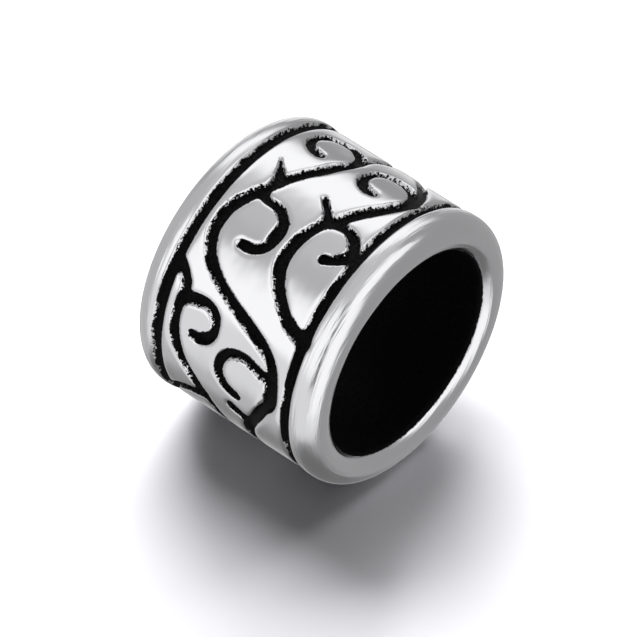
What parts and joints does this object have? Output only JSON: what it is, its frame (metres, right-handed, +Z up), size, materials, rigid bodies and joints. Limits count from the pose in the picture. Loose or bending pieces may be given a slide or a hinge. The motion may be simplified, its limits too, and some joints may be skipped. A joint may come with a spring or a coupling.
{
  "type": "dreadlock bead",
  "caption": "Short, wide metal ring bead with rolled rims and a band of scroll grooves, worn on a lock of hair.",
  "frame": {"origin": "centre of the bore, half way between the two ends, with the bead lying on its side", "axes": "+Y along the bore from the near end to the far end, +Z up, +X to the right seen from the near end"},
  "size_m": [0.012, 0.0094, 0.012],
  "materials": {
    "steel": "polished, with blackened grooves and bore"
  },
  "bodies": {
    "root": {"bead": "steel"}
  },
  "joints": []
}
